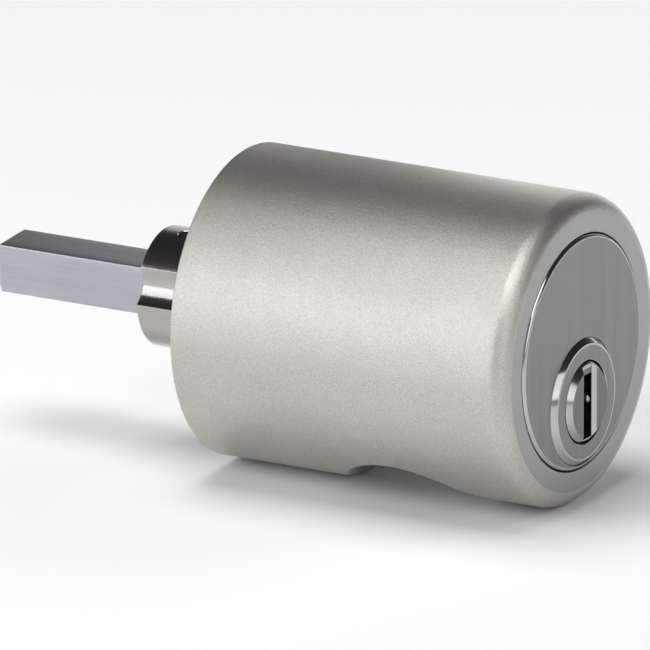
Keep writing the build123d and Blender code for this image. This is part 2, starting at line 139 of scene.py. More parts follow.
def makePiece(name, patches, finishes, sharpAngle=24.0):
    # patches are (points, finish number) or (points, finish number, cells left out);
    # edges they share are welded
    points, quads, slots, start = [], [], [], 0
    for grid, slot, *leftOut in patches:
        rows, cols = grid.shape[:2]
        points.append(grid.reshape(-1, 3))
        quads.append(gridQuads(rows, cols, start, *leftOut))
        slots.append(np.full(len(quads[-1]), slot, np.int32))
        start += rows * cols
    mesh = bpy.data.meshes.new(name)
    mesh.from_pydata((np.concatenate(points) * mm).tolist(), [], np.concatenate(quads).tolist())
    mesh.polygons.foreach_set("material_index", np.concatenate(slots))
    work = bmesh.new()
    work.from_mesh(mesh)
    bmesh.ops.remove_doubles(work, verts=work.verts, dist=weldDistance * mm)
    bmesh.ops.recalc_face_normals(work, faces=work.faces)
    if work.calc_volume(signed=True) < 0:
        bmesh.ops.reverse_faces(work, faces=work.faces)
    openEdges = sum(1 for e in work.edges if not e.is_manifold)
    work.to_mesh(mesh)
    work.free()
    mesh.polygons.foreach_set("use_smooth", np.ones(len(mesh.polygons), bool))
    mesh.set_sharp_from_angle(angle=math.radians(sharpAngle))
    for material in finishes:
        mesh.materials.append(material)
    piece = bpy.data.objects.new(name, mesh)
    bpy.context.scene.collection.objects.link(piece)
    print("piece", name, "faces", len(mesh.polygons), "open edges", openEdges)
    return piece


boreGrid = {"skinRows": 9, "crowding": 1.3, "breakRows": 2, "wallRows": 6, "floorRows": 3}


def boredHole(loop, bore, outside, slots):
    # a round hole bored from the outside of a round body towards its axis at one angle:
    # in the hole's own frame its axis is +X, every loop point is joined to the rim point at the
    # same angle round the hole, and the surface between follows x = sqrt(outside^2 - z^2)
    local = turnAbout(loop, -bore["angle"])
    around = np.arctan2(local[:, 2] - bore["across"], local[:, 1] - bore["y"])
    unit = np.stack([np.cos(around), np.sin(around)], -1)
    middle = np.array([bore["y"], bore["across"]])
    t = np.linspace(0, 1, boreGrid["skinRows"])[:, None, None] ** boreGrid["crowding"]
    rim = middle + unit * (bore["radius"] + bore["edgeBreak"])
    flat = rim[None] * (1 - t) + local[None, :, 1:] * t
    skin = np.stack([np.sqrt(outside**2 - flat[..., 1] ** 2), flat[..., 0], flat[..., 1]], -1)
    skin[-1] = local
    wall = middle + unit * bore["radius"]
    wallTop = np.sqrt(outside**2 - wall[:, 1] ** 2) - bore["edgeBreak"]
    top = np.stack([wallTop, wall[:, 0], wall[:, 1]], -1)
    low = np.stack([np.full(len(wall), bore["bottom"]), wall[:, 0], wall[:, 1]], -1)
    centre = centreRow((bore["bottom"], *middle), len(low))[0]
    inner = [
        mixRows(skin[0], top, boreGrid["breakRows"]),
        mixRows(top, low, boreGrid["wallRows"]),
        mixRows(low, centre, boreGrid["floorRows"]),
    ]
    patches = [(turnAbout(skin, bore["angle"]), slots[0])]
    return patches + [(turnAbout(rows, bore["angle"]), slots[1]) for rows in inner]


def boreInto(skin, angles, bore, outside, slots):
    # leaves a block of cells out of a skin whose rows run along the knob, and bores the hole there
    colFrom, colTo = (int(np.argmin(np.abs(angles - limit))) for limit in bore["span"])
    limits = [bore["y"] - bore["reach"], bore["y"] + bore["reach"]]
    rowFrom, rowTo = sorted(int(np.argmin(np.abs(skin[:, colFrom, 1] - limit))) for limit in limits)
    # the outline of the block, in order
    low = skin[rowFrom, colFrom:colTo]
    right = skin[rowFrom:rowTo, colTo]
    high = skin[rowTo, colTo:colFrom:-1]
    left = skin[rowTo:rowFrom:-1, colFrom]
    loop = np.concatenate([low, right, high, left])
    return [(skin, slots[0], (rowFrom, rowTo, colFrom, colTo))] + boredHole(loop, bore, outside, slots)


def linkedGroup(name, inputs, outputs):
    group = bpy.data.node_groups.new(name, "ShaderNodeTree")
    for label, kind, value in inputs:
        socket = group.interface.new_socket(name=label, in_out="INPUT", socket_type=kind)
        if value is not None:
            socket.default_value = value
    for label in outputs:
        group.interface.new_socket(name=label, in_out="OUTPUT", socket_type="NodeSocketFloat")
    entry = group.nodes.new("NodeGroupInput")
    leave = group.nodes.new("NodeGroupOutput")
    return group, entry, leave


def addNode(tree, kind, **values):
    node = tree.nodes.new(kind)
    for key, value in values.items():
        setattr(node, key, value)
    return node


def feed(tree, socket, value):
    # a number or a colour stays on the socket, anything else is a link
    if isinstance(value, (int, float)):
        socket.default_value = value
    elif isinstance(value, tuple):
        socket.default_value = (*value, 1)
    else:
        tree.links.new(value, socket)


def mathNode(tree, operation, first, second=None, clamp=False):
    node = addNode(tree, "ShaderNodeMath", operation=operation, use_clamp=clamp)
    feed(tree, node.inputs[0], first)
    if second is not None:
        feed(tree, node.inputs[1], second)
    return node.outputs[0]


def blend(tree, first, second, share):
    # first * share + second * (1 - share)
    part = mathNode(tree, "MULTIPLY", first, share)
    return mathNode(tree, "ADD", part, mathNode(tree, "MULTIPLY", second, 1 - share))


def spread(tree, value, middle, reach):
    # turns a 0 to 1 value, mostly near 0.5, into middle +- reach
    swing = mathNode(tree, "MULTIPLY", mathNode(tree, "SUBTRACT", value, 0.5), 2.0 * reach)
    return mathNode(tree, "ADD", swing, middle)


def noiseNode(tree, vector, scale, detail, rough):
    node = addNode(tree, "ShaderNodeTexNoise")
    tree.links.new(vector, node.inputs["Vector"])
    feed(tree, node.inputs["Scale"], scale)
    node.inputs["Detail"].default_value = detail
    node.inputs["Roughness"].default_value = rough
    return node.outputs[0]


def mixTones(tree, factor, low, high):
    mix = addNode(tree, "ShaderNodeMix", data_type="RGBA", clamp_factor=True)
    tree.links.new(factor, mix.inputs[0])
    feed(tree, mix.inputs[6], low)
    feed(tree, mix.inputs[7], high)
    return mix.outputs[2]


# grain sizes are counted per metre; the coarse and mottle scales are shares of the fine one
blast = {"coarseScale": 0.42, "fineHeight": 0.62, "mottleScale": 0.03, "fineTone": 0.88}


def makeBlastGrain():
    # beads leave small round dents: fine noise over a slightly coarser one; the tone is fine noise
    # over a soft mottle
    group, entry, leave = linkedGroup(
        "blastGrain",
        [("Place", "NodeSocketVector", None), ("Grains per m", "NodeSocketFloat", 4200.0)],
        ["Height", "Tone"],
    )
    place, grains = entry.outputs[0], entry.outputs[1]
    fine = noiseNode(group, place, grains, detail=2.0, rough=0.6)
    fewer = mathNode(group, "MULTIPLY", grains, blast["coarseScale"])
    coarse = noiseNode(group, place, fewer, detail=1.0, rough=0.5)
    height = blend(group, fine, coarse, blast["fineHeight"])
    broad = mathNode(group, "MULTIPLY", grains, blast["mottleScale"])
    mottle = noiseNode(group, place, broad, detail=3.0, rough=0.55)
    group.links.new(height, leave.inputs[0])
    group.links.new(blend(group, fine, mottle, blast["fineTone"]), leave.inputs[1])
    return group


drawn = {"bandStretch": (0.13, 0.6, 0.13), "lineTone": 0.45}


def makeDrawnLines():
    # noise stretched along one direction gives the long fine lines that drawing or brushing leaves,
    # and a wider copy of it gives the bands between them
    group, entry, leave = linkedGroup(
        "drawnLines",
        [("Place", "NodeSocketVector", None), ("Stretch", "NodeSocketVector", (6000.0, 60.0, 6000.0))],
        ["Height", "Tone"],
    )
    scaled = addNode(group, "ShaderNodeVectorMath", operation="MULTIPLY")
    group.links.new(entry.outputs[0], scaled.inputs[0])
    group.links.new(entry.outputs[1], scaled.inputs[1])
    lines = noiseNode(group, scaled.outputs[0], 1.0, detail=3.0, rough=0.65)
    wide = addNode(group, "ShaderNodeVectorMath", operation="MULTIPLY")
    group.links.new(scaled.outputs[0], wide.inputs[0])
    wide.inputs[1].default_value = drawn["bandStretch"]
    bands = noiseNode(group, wide.outputs[0], 1.0, detail=2.0, rough=0.5)
    group.links.new(lines, leave.inputs[0])
    group.links.new(blend(group, lines, bands, drawn["lineTone"]), leave.inputs[1])
    return group


def makeHandling():
    # broad soft clouds where hands and cloths have passed
    group, entry, leave = linkedGroup(
        "handling",
        [("Place", "NodeSocketVector", None), ("Clouds per m", "NodeSocketFloat", 60.0)],
        ["Cloud"],
    )
    cloud = noiseNode(group, entry.outputs[0], entry.outputs[1], detail=4.0, rough=0.55)
    group.links.new(cloud, leave.inputs[0])
    return group


# the bevels and the rim are polished, and their brighter tone is a painted highlight
plugPolishAndHighlight = {"bevelMiddle": 1.8, "bevelReach": 0.31, "rim": 5.57}


def makePlugZones():
    # polished places of the plug, whose brighter tone is a painted highlight: both lead-in bevels beside the
    # keyway, and the rim round the face
    group, entry, leave = linkedGroup("plugZones", [("Place", "NodeSocketVector", None)], ["Mask"])
    split = addNode(group, "ShaderNodeSeparateXYZ")
    group.links.new(entry.outputs[0], split.inputs[0])
    x, z = split.outputs["X"], mathNode(group, "SUBTRACT", split.outputs["Z"], plugHeight * mm)
    bevel = mathNode(group, "COMPARE", mathNode(group, "ABSOLUTE", x), plugPolishAndHighlight["bevelMiddle"] * mm)
    bevel.node.inputs[2].default_value = plugPolishAndHighlight["bevelReach"] * mm
    far = mathNode(group, "ADD", mathNode(group, "MULTIPLY", x, x), mathNode(group, "MULTIPLY", z, z))
    rim = mathNode(group, "GREATER_THAN", far, (plugPolishAndHighlight["rim"] * mm) ** 2)
    group.links.new(mathNode(group, "MAXIMUM", bevel, rim), leave.inputs[0])
    return group


groups = {
    "blastGrain": makeBlastGrain(),
    "drawnLines": makeDrawnLines(),
    "handling": makeHandling(),
    "plugZones": makePlugZones(),
}
print("node groups", len(groups))


def useGroup(tree, name, place, value=None):
    node = addNode(tree, "ShaderNodeGroup", node_tree=groups[name])
    tree.links.new(place, node.inputs[0])
    if value is not None:
        node.inputs[1].default_value = value
    return node


# what a finish has unless it says otherwise; bump depths are metres
plainFinish = {
    "metallic": 1.0, "clouds": 60.0, "toneReach": 1.0, "roughReach": 0.04, "grainRough": 0.02,
    "bump": 0.5, "bumpDepth": 0.00001,
}


def metal(name, settings):
    # one metal finish: base colour between two tones, roughness with soft clouds, a fine surface grain
    settings = {**plainFinish, **settings}
    material = bpy.data.materials.new(name)
    material.use_nodes = True
    tree = material.node_tree
    shader = tree.nodes["Principled BSDF"]
    shader.inputs["Metallic"].default_value = settings["metallic"]
    place = addNode(tree, "ShaderNodeTexCoord").outputs["Object"]
    grain = useGroup(tree, settings["grain"], place, settings["grainSize"])
    hand = useGroup(tree, "handling", place, settings["clouds"])
    toneMask = spread(tree, grain.outputs["Tone"], 0.5, settings["toneReach"])
    colour = mixTones(tree, toneMask, *settings["tones"])
    cloudRough = spread(tree, hand.outputs["Cloud"], settings["rough"], settings["roughReach"])
    grainRough = spread(tree, grain.outputs["Height"], 0.0, settings["grainRough"])
    rough = mathNode(tree, "ADD", cloudRough, grainRough, True)
    if "zones" in settings:
        # polished places with a painted highlight: mask 1 gives the zone's own tone, which paints the
        # highlight, and its roughness
        mask = useGroup(tree, settings["zones"], place).outputs[0]
        colour = mixTones(tree, mask, colour, settings["zonePolishAndHighlightTone"])
        change = mathNode(tree, "MULTIPLY", mathNode(tree, "SUBTRACT", settings["zoneRough"], rough), mask)
        rough = mathNode(tree, "ADD", rough, change)
    tree.links.new(colour, shader.inputs["Base Color"])
    tree.links.new(rough, shader.inputs["Roughness"])
    bump = addNode(tree, "ShaderNodeBump")
    bump.inputs["Strength"].default_value = settings["bump"]
    bump.inputs["Distance"].default_value = settings["bumpDepth"]
    tree.links.new(grain.outputs["Height"], bump.inputs["Height"])
    tree.links.new(bump.outputs[0], shader.inputs["Normal"])
    return material


finishSettings = {
    "nickelBlast": {
        "grain": "blastGrain", "grainSize": 4800.0, "tones": ((0.40, 0.390, 0.353), (0.665, 0.650, 0.590)),
        "rough": 0.44, "roughReach": 0.02, "bump": 1.0, "bumpDepth": 0.0001,
    },
    "satinRing": {
        "grain": "blastGrain", "grainSize": 5200.0, "tones": ((0.36, 0.358, 0.350), (0.415, 0.412, 0.402)),
        "rough": 0.36, "roughReach": 0.03, "bump": 0.3, "bumpDepth": 0.000006,
    },
    "satinDisk": {
        "grain": "drawnLines", "grainSize": (4600.0, 4600.0, 110.0),
        "tones": ((0.215, 0.213, 0.206), (0.28, 0.277, 0.268)),
        "rough": 0.30, "roughReach": 0.03, "bumpDepth": 0.000012,
    },
    "polishedNickel": {
        "grain": "drawnLines", "grainSize": (5000.0, 400.0, 5000.0),
        "tones": ((0.46, 0.455, 0.435), (0.56, 0.55, 0.525)),
        "rough": 0.12, "roughReach": 0.03, "bump": 0.1, "bumpDepth": 0.000002,
    },
    "brightNickel": {
        "grain": "blastGrain", "grainSize": 4200.0, "tones": ((0.42, 0.405, 0.375), (0.49, 0.475, 0.435)),
        "rough": 0.13, "roughReach": 0.02, "bump": 0.8, "bumpDepth": 0.00003,
    },
    "zincBar": {
        "grain": "drawnLines", "grainSize": (3000.0, 90.0, 3000.0),
        "tones": ((0.38, 0.385, 0.41), (0.50, 0.505, 0.54)), "rough": 0.38, "roughReach": 0.05,
    },
    "plugNickel": {
        "grain": "blastGrain", "grainSize": 5000.0, "tones": ((0.16, 0.158, 0.162), (0.205, 0.20, 0.207)),
        "rough": 0.24, "bump": 0.4, "bumpDepth": 0.000008,
        # the zone tone, far brighter than the plug's own tones, is a painted highlight on the polished bevels
        # and rim
        "zones": "plugZones", "zonePolishAndHighlightTone": (0.50, 0.49, 0.475), "zoneRough": 0.18,
    },
    "hardSteel": {
        "grain": "drawnLines", "grainSize": (4000.0, 4000.0, 300.0),
        "tones": ((0.36, 0.36, 0.37), (0.48, 0.48, 0.49)), "rough": 0.28, "bump": 0.3, "bumpDepth": 0.000006,
    },
    "springSteel": {
        "grain": "blastGrain", "grainSize": 6000.0, "tones": ((0.40, 0.40, 0.41), (0.54, 0.54, 0.55)),
        "rough": 0.24, "bump": 0.2, "bumpDepth": 0.000005,
    },
    "blackSteel": {
        "grain": "blastGrain", "grainSize": 5000.0, "tones": ((0.05, 0.05, 0.053), (0.09, 0.09, 0.093)),
        "rough": 0.42, "metallic": 0.9,
    },
    "turnedBrass": {
        "grain": "drawnLines", "grainSize": (900.0, 5000.0, 900.0),
        "tones": ((0.66, 0.49, 0.21), (0.80, 0.62, 0.31)), "rough": 0.27, "bump": 0.3, "bumpDepth": 0.000008,
    },
    "sinteredBronze": {
        "grain": "blastGrain", "grainSize": 3500.0, "tones": ((0.42, 0.27, 0.15), (0.60, 0.41, 0.25)),
        "rough": 0.46, "bump": 0.7, "bumpDepth": 0.000015,
    },
}
finish = {name: metal(name, settings) for name, settings in finishSettings.items()}
print("finishes", len(finish))

# CAD pieces that keep their own mesh, and the finish each takes
cadFinishes = {
    "blackSteel": ["hub_grub_screw", "cylinder_fixing_screw"],
    "hardSteel": [
        "dog_ring", "anti_drill_pins", "back_plate_screws", "side_pins", "snail_cam", "coupling_bolt",
        "follower_pin",
    ],
    "springSteel": ["dog_ring_clip", "pin_springs", "cam_clip", "bolt_spring"],
    "turnedBrass": ["cylinder_body", "driver_pins", "chamber_plugs", "key_pins"],
    "satinDisk": ["back_plate"],
    "sinteredBronze": ["bearing_bush", "thrust_washer", "rear_washer"],
    "plugNickel": ["plug"],
}
for finishName, nodeNames in cadFinishes.items():
    for nodeName in nodeNames:
        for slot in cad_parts[nodeName].material_slots:
            slot.material = finish[finishName]
print("CAD pieces painted")

shell = {
    "radius": 25.0, "frontRound": 3.0, "front": -60.0, "rearBreak": 0.3,
    "scoopRadius": 15.9, "scoopY": -35.2, "scoopZ": -33.8, "scoopEase": 0.3,
    "scoopSine": -0.4,  # the scoop only meets angles whose sine is lower
    "recess": 19.05, "recessFloor": -57.05, "recessBreak": 0.14, "pocketEnd": -24.0, "cavity": 17.0,
    "plateSeat": 22.05, "plateFloor": -4.05, "plateBreak": 0.1, "head": 8.6, "web": 5.1, "tailZ": 11.5,
}
# how finely the shell is drawn: columns in and beside the scoop, rows beside and across it, the rest
shellGrid = {
    "inScoop": 141, "beside": 201, "runRows": 40, "crowding": 1.8, "acrossRows": 61,
    "roundSteps": 16, "pocketRows": 8, "rearSteps": 6, "sharpAngle": 30.0,
}
fixingBore = {
    "angle": 0.0, "y": -32.65, "across": 8.0, "radius": 3.6, "edgeBreak": 0.15, "bottom": 18.05,
    "span": (5.0, 33.0), "reach": 6.0,  # the block of cells it replaces
}


def scoopRoof(y):
    # height of the scoop's roof: its centre height + sqrt(radius^2 - (y - centre)^2)
    inside = shell["scoopRadius"] ** 2 - (y - shell["scoopY"]) ** 2
    return shell["scoopZ"] + np.sqrt(np.clip(inside, 0, None))


def shellSkin(angles, y):
    # the knob's radius at each angle and y: its own radius, or where the scoop cuts it, roof / sin(angle)
    s = np.sin(np.radians(angles)) + 0 * y
    roof = np.where(np.abs(y - shell["scoopY"]) < shell["scoopRadius"], scoopRoof(y), -farAway)
    cut = np.where(s < shell["scoopSine"], roof / np.minimum(s, shell["scoopSine"]), farAway)
    return softLower(np.full(s.shape, shell["radius"]), cut, shell["scoopEase"])


def shellAngles():
    # columns close up towards both ends of the scoop, -90 + half * sin(t), then go on evenly round
    half = math.degrees(math.acos((shell["scoopRadius"] + shell["scoopZ"]) / -shell["radius"]))
    inScoop = -90 + half * np.sin(np.linspace(-math.pi / 2, math.pi / 2, shellGrid["inScoop"]))
    beside = np.linspace(-90 + half, 270 - half, shellGrid["beside"])[1:-1]
    return np.concatenate([inScoop, beside])


def scoopReach(angles):
    # how far the scoop runs each way along the knob: sqrt(scoop^2 - (radius * sin a - centre)^2)
    inside = shell["scoopRadius"] ** 2 - (shell["radius"] * np.sin(np.radians(angles)) - shell["scoopZ"]) ** 2
    reach = np.sqrt(np.clip(inside, 0, None))
    reach[0] = 0
    reach[shellGrid["inScoop"] - 1:] = 0
    return reach


def shellRows(reach):
    # y of every row: they run along the knob and close up towards the scoop's edge on both sides of it
    near = (1 - np.linspace(0, 1, shellGrid["runRows"])[:, None]) ** shellGrid["crowding"]
    across = np.sin(np.linspace(-math.pi / 2, math.pi / 2, shellGrid["acrossRows"]))[:, None]
    scoopStart, scoopEnd = shell["scoopY"] - reach, shell["scoopY"] + reach
    front = scoopStart + (shell["front"] + shell["frontRound"] - scoopStart) * near
    rear = (scoopEnd + (-shell["rearBreak"] - scoopEnd) * near)[::-1]
    return np.concatenate([front, (shell["scoopY"] + reach * across)[1:], rear[1:]])


def circleExit(sine, z, radius):
    # where a ray from the knob's axis leaves a circle: along + sqrt(along^2 - z^2 + radius^2)
    along = sine * z
    inside = along**2 - z**2 + radius**2
    return np.where(inside > 0, along + np.sqrt(np.clip(inside, 0, None)), 0.0)


def pocketOutline(angles):
    # distance from the knob's axis to the wall of the profile pocket: the farthest of head, web and tail
    a = np.radians(angles)
    c, s = np.cos(a), np.sin(a)
    side = shell["web"] / np.maximum(np.abs(c), tiny)
    end = np.where(s > 0, shell["tailZ"], -plugHeight) / np.maximum(np.abs(s), tiny)
    head = circleExit(s, plugHeight, shell["head"])
    tail = circleExit(s, shell["tailZ"], shell["web"])
    return np.maximum(np.minimum(side, end), np.maximum(head, tail))


def makeKnobShell():
    angles = shellAngles()
    y = shellRows(scoopReach(angles))
    skin = radialRows(shellSkin(angles[None, :], y), y, angles)
    patches = boreInto(skin, angles, fixingBore, shell["radius"], (0, 1))
    r, recess, floor = shell["radius"], shell["recess"], shell["recessFloor"]
    face, frontRound = shell["front"], shell["frontRound"]
    front = softCorners(
        [(r, face + frontRound), (r, face), (recess, face), (recess, floor)],
        [frontRound - hair, shell["recessBreak"]],
        shellGrid["roundSteps"],
    )
    roundEnd = shellGrid["roundSteps"] + 1  # the round is blasted like the side, the flat face is finer
    patches.append((lathe(front[:roundEnd], angles), 0))
    patches.append((lathe(front[roundEnd - 1:], angles), 2))
    pocket = pocketOutline(angles)
    pocketY = np.linspace(floor, shell["pocketEnd"], shellGrid["pocketRows"])[:, None]
    patches.append((radialRows([np.full(len(angles), recess), pocket], floor, angles), 0))
    patches.append((radialRows(pocket[None, :], pocketY, angles), 0))
    cavity, seat = shell["cavity"], shell["plateSeat"]
    patches.append((radialRows([pocket, np.full(len(angles), cavity)], shell["pocketEnd"], angles), 0))
    rear = softCorners(
        [(cavity, shell["pocketEnd"]), (cavity, shell["plateFloor"]), (seat, shell["plateFloor"]),
         (seat, 0), (r, 0), (r, -shell["rearBreak"])],
        [0, 0, shell["plateBreak"], shell["rearBreak"] - hair],
        shellGrid["rearSteps"],
    )
    patches.append((lathe(rear, angles), 0))
    finishes = [finish["nickelBlast"], finish["polishedNickel"], finish["satinRing"]]
    return makePiece("knobShell", patches, finishes, shellGrid["sharpAngle"])


knobShell = makeKnobShell()
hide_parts("knob_shell")
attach(knobShell, "knob")

disk = {
    "radius": 18.85, "face": -60.3, "back": -57.1, "edgeRound": 0.55, "hole": 10.25, "holeBreak": 0.04,
    "around": 288, "edgeSteps": 10, "faceSteps": 12, "backSteps": 4,
}


def makeFrontDisk():
    angles = roundAngles(disk["around"])
    r, face, back, soft = disk["radius"], disk["face"], disk["back"], disk["edgeRound"]
    hole, mouth = disk["hole"], disk["hole"] + disk["holeBreak"]
    edge = softCorners([(r - soft, face), (r, face), (r, back)], [soft - hair], disk["edgeSteps"])
    # the face and the back run on straight lines from the off-centre hole to the disk's edge
    faceRows = mixRows(ringRow(mouth, face, angles, plugHeight), ringRow(*edge[0], angles), disk["faceSteps"])
    holeWall = lathe([(mouth, face), (hole, face + disk["holeBreak"]), (hole, back)], angles, plugHeight)
    backRows = mixRows(ringRow(hole, back, angles, plugHeight), ringRow(*edge[-1], angles), disk["backSteps"])
    patches = [(faceRows, 0), (lathe(edge, angles), 1), (holeWall, 1), (backRows, 0)]
    return makePiece("frontDisk", patches, [finish["satinDisk"], finish["polishedNickel"]])


frontDisk = makeFrontDisk()
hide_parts("front_disk")
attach(frontDisk, "knob")

collar = {
    "radius": 10.2, "front": -61.0, "back": -57.1, "chamfer": 0.8, "edgeRound": 0.18, "land": 0.3,
    "hole": 6.7, "holeBreak": 0.12, "around": 240, "faceSteps": 5,
}


def makeDrillCollar():
    angles = roundAngles(collar["around"])
    r, front, back, cut = collar["radius"], collar["front"], collar["back"], collar["chamfer"]
    hole, mouth = collar["hole"], collar["hole"] + collar["holeBreak"]
    flat = r - cut - collar["land"]  # the rounded edges end here and the plain face starts
    edges = [(r, back), (r, front + cut), (r - cut, front), (flat, front)]
    outer = softCorners(edges, [collar["edgeRound"], collar["edgeRound"]])
    faceEnds = [ringRow(radius, front, angles, plugHeight) for radius in (flat, mouth)]
    holeWall = [(mouth, front), (hole, front + collar["holeBreak"]), (hole, back)]
    patches = [
        (lathe(outer, angles, plugHeight), 1),
        (mixRows(*faceEnds, collar["faceSteps"]), 0),
        (lathe(holeWall, angles, plugHeight), 1),
        (lathe([(hole, back), (r, back)], angles, plugHeight), 0),
    ]
    return makePiece("drillCollar", patches, [finish["satinDisk"], finish["polishedNickel"]])


drillCollar = makeDrillCollar()
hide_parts("drill_collar")
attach(drillCollar, "knob")

hub = {
    "radius": 9.7, "footRadius": 9.5, "foot": 0.35, "end": 15.0, "endBreak": 0.25,
    "fluteStart": 3.0, "fluteRadius": 4.3, "fluteCentre": 12.33, "flutes": (166.5, 346.5), "edgeEase": 0.1,
    "journal": 8.0, "journalEnd": -13.0, "spigot": 6.8, "spigotFlat": 6.2, "spigotEnd": -20.2,
    "square": 4.05, "squareTurn": 4.0,
}
hubGrid = {
    "step": 1.5, "edgeSteps": (0.1, 0.2, 0.35, 0.6, 1.0, 1.6), "inFlute": 31,
    "endSteps": 6, "breakRows": 6, "wallRows": 49, "squareRows": 12, "decimals": 5,
}
grubBore = {
    "angle": 100.0, "y": 10.4, "across": 0.0, "radius": 1.3, "edgeBreak": 0.12, "bottom": 4.6,
    "span": (83.0, 117.0), "reach": 2.7,  # the block of cells it replaces
}


def hubAngles():
    # even steps, closer ones at both edges of each flute, and the four corners of the square hole
    centre, r = hub["fluteCentre"], hub["radius"]
    half = math.degrees(math.acos((centre**2 + r**2 - hub["fluteRadius"] ** 2) / (2 * centre * r)))
    steps = np.array(hubGrid["edgeSteps"])
    near = np.concatenate([-steps, [0], steps])
    marks = [np.arange(0, 360, hubGrid["step"]), hub["squareTurn"] + 45 + 90 * np.arange(4)]
    for flute in hub["flutes"]:
        inside = np.linspace(-half, half, hubGrid["inFlute"])
        marks += [flute - half + near, flute + half + near, flute + inside]
    # marks that meet become one column
    return np.unique(np.round(np.concatenate(marks) % 360, hubGrid["decimals"]))


def hubOutline(angles):
    # the boss's radius at each angle: its own, or where a flute's round cutter enters,
    # centre * cos(d) - sqrt(cutter^2 - centre^2 sin^2(d)), eased where the two meet
    r = np.full(len(angles), hub["radius"])
    for flute in hub["flutes"]:
        d = np.radians(angles - flute)
        inside = hub["fluteRadius"] ** 2 - (hub["fluteCentre"] * np.sin(d)) ** 2
        enter = hub["fluteCentre"] * np.cos(d) - np.sqrt(np.clip(inside, 0, None))
        r = softLower(r, np.where((inside > 0) & (np.cos(d) > 0), enter, farAway), hub["edgeEase"])
    return r


def squareOutline(angles, halfSide, turn):
    # distance to a square's side: half side / max(|cos|, |sin|) of the angle from its own turn
    a = np.radians(angles - turn)
    return halfSide / np.maximum(np.abs(np.cos(a)), np.abs(np.sin(a)))


def makeHub():
    angles = hubAngles()
    cut, end, foot, fluteStart = hub["endBreak"], hub["end"], hub["foot"], hub["fluteStart"]
    outline = hubOutline(angles)
    square = squareOutline(angles, hub["square"], hub["squareTurn"])
    plain = np.full(len(angles), hub["footRadius"])
    journal = np.full(len(angles), hub["journal"])
    flats = hub["spigotFlat"] / np.maximum(np.abs(np.cos(np.radians(angles))), tiny)
    spigot = np.minimum(hub["spigot"], flats)
    endHole, endEdge = radialRows([square, outline - cut], end, angles)
    t = np.linspace(0, math.pi / 2, hubGrid["breakRows"])[:, None]
    endRound = radialRows(outline - cut + cut * np.sin(t), end - cut + cut * np.cos(t), angles)
    wallY = np.linspace(end - cut, fluteStart, hubGrid["wallRows"])[:, None]
    wall = radialRows(outline[None, :], wallY, angles)
    footProfile = [(hub["footRadius"], fluteStart), (hub["footRadius"], foot), (hub["journal"], foot),
                   (hub["journal"], hub["journalEnd"])]
    spigotY = np.array([[hub["journalEnd"]], [hub["spigotEnd"]]])
    squareY = np.linspace(hub["spigotEnd"], end, hubGrid["squareRows"])[:, None]
    patches = [(mixRows(endHole, endEdge, hubGrid["endSteps"]), 0), (endRound, 0)]
    patches += boreInto(wall, angles, grubBore, hub["radius"], (0, 0))
    patches += [
        (radialRows([outline, plain], fluteStart, angles), 0),
        (lathe(footProfile, angles), 0),
        (radialRows([journal, spigot], hub["journalEnd"], angles), 0),
        (radialRows([spigot, spigot], spigotY, angles), 0),
        (radialRows([spigot, square], hub["spigotEnd"], angles), 0),
        (radialRows(square[None, :], squareY, angles), 0),
    ]
    return makePiece("hubBoss", patches, [finish["brightNickel"]])


hubBoss = makeHub()
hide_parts("hub")
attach(hubBoss, "spindle")

bar = {
    "half": 4.0, "turn": 4.0, "start": -19.7, "end": 44.0, "endCut": 0.8, "corner": 0.3,
    "rows": 40, "cornerPoints": 6, "parts": 4, "sharpAngle": 28.0,
}


def barSections(insets):
    # squares with rounded corners, each drawn in by its inset: corner centre + corner * (cos, sin),
    # turned by 0, 90, 180 and 270 degrees
    centre = (bar["half"] - insets - bar["corner"])[:, None, None]
    turn = np.radians(90 * np.arange(4))[None, :, None]
    arc = np.radians(np.linspace(0, 90, bar["cornerPoints"]))
    x = centre + bar["corner"] * np.cos(arc)
    z = centre + bar["corner"] * np.sin(arc)
    ring = np.stack([x * np.cos(turn) - z * np.sin(turn), x * np.sin(turn) + z * np.cos(turn)], -1)
    ring = ring.reshape(len(insets), -1, 2)
    # every stretch is split into parts, which keeps the faces from growing too long
    t = np.linspace(0, 1, bar["parts"] + 1)[:-1, None]
    parts = ring[:, :, None] * (1 - t) + np.roll(ring, -1, 1)[:, :, None] * t
    return parts.reshape(len(insets), -1, 2)


def makeSquareBar():
    start, end, cut = bar["start"], bar["end"], bar["endCut"]
    ys = np.append(np.linspace(start, end - cut, bar["rows"]), end)
    sections = barSections(np.append(np.zeros(bar["rows"]), cut))
    x, z = sections[..., 0], sections[..., 1]
    skin = np.stack([x, ys[:, None] + 0 * x, z], -1)
    ends = [centreRow((0, y, 0), skin.shape[1]) for y in (start, end)]
    rows = turnAbout(np.concatenate([ends[0], skin, ends[1]]), bar["turn"])
    return makePiece("squareBar", [(rows, 0)], [finish["zincBar"]], bar["sharpAngle"])


squareBar = makeSquareBar()
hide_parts("square_bar")
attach(squareBar, "spindle")

floorSettings = {"height": -0.0251, "size": 6.0, "tone": 0.86, "rough": 0.9, "specular": 0.1}  # metres


def makeFloor():
    half, h = floorSettings["size"] / 2, floorSettings["height"]
    mesh = bpy.data.meshes.new("floor")
    corners = [(-half, -half, h), (half, -half, h), (half, half, h), (-half, half, h)]
    mesh.from_pydata(corners, [], [(0, 1, 2, 3)])
    material = bpy.data.materials.new("floorPale")
    material.use_nodes = True
    shader = material.node_tree.nodes["Principled BSDF"]
    tone = floorSettings["tone"]
    shader.inputs["Base Color"].default_value = (tone, tone, tone, 1)
    shader.inputs["Roughness"].default_value = floorSettings["rough"]
    shader.inputs["Specular IOR Level"].default_value = floorSettings["specular"]
    mesh.materials.append(material)
    floor = bpy.data.objects.new("floor", mesh)
    bpy.context.scene.collection.objects.link(floor)


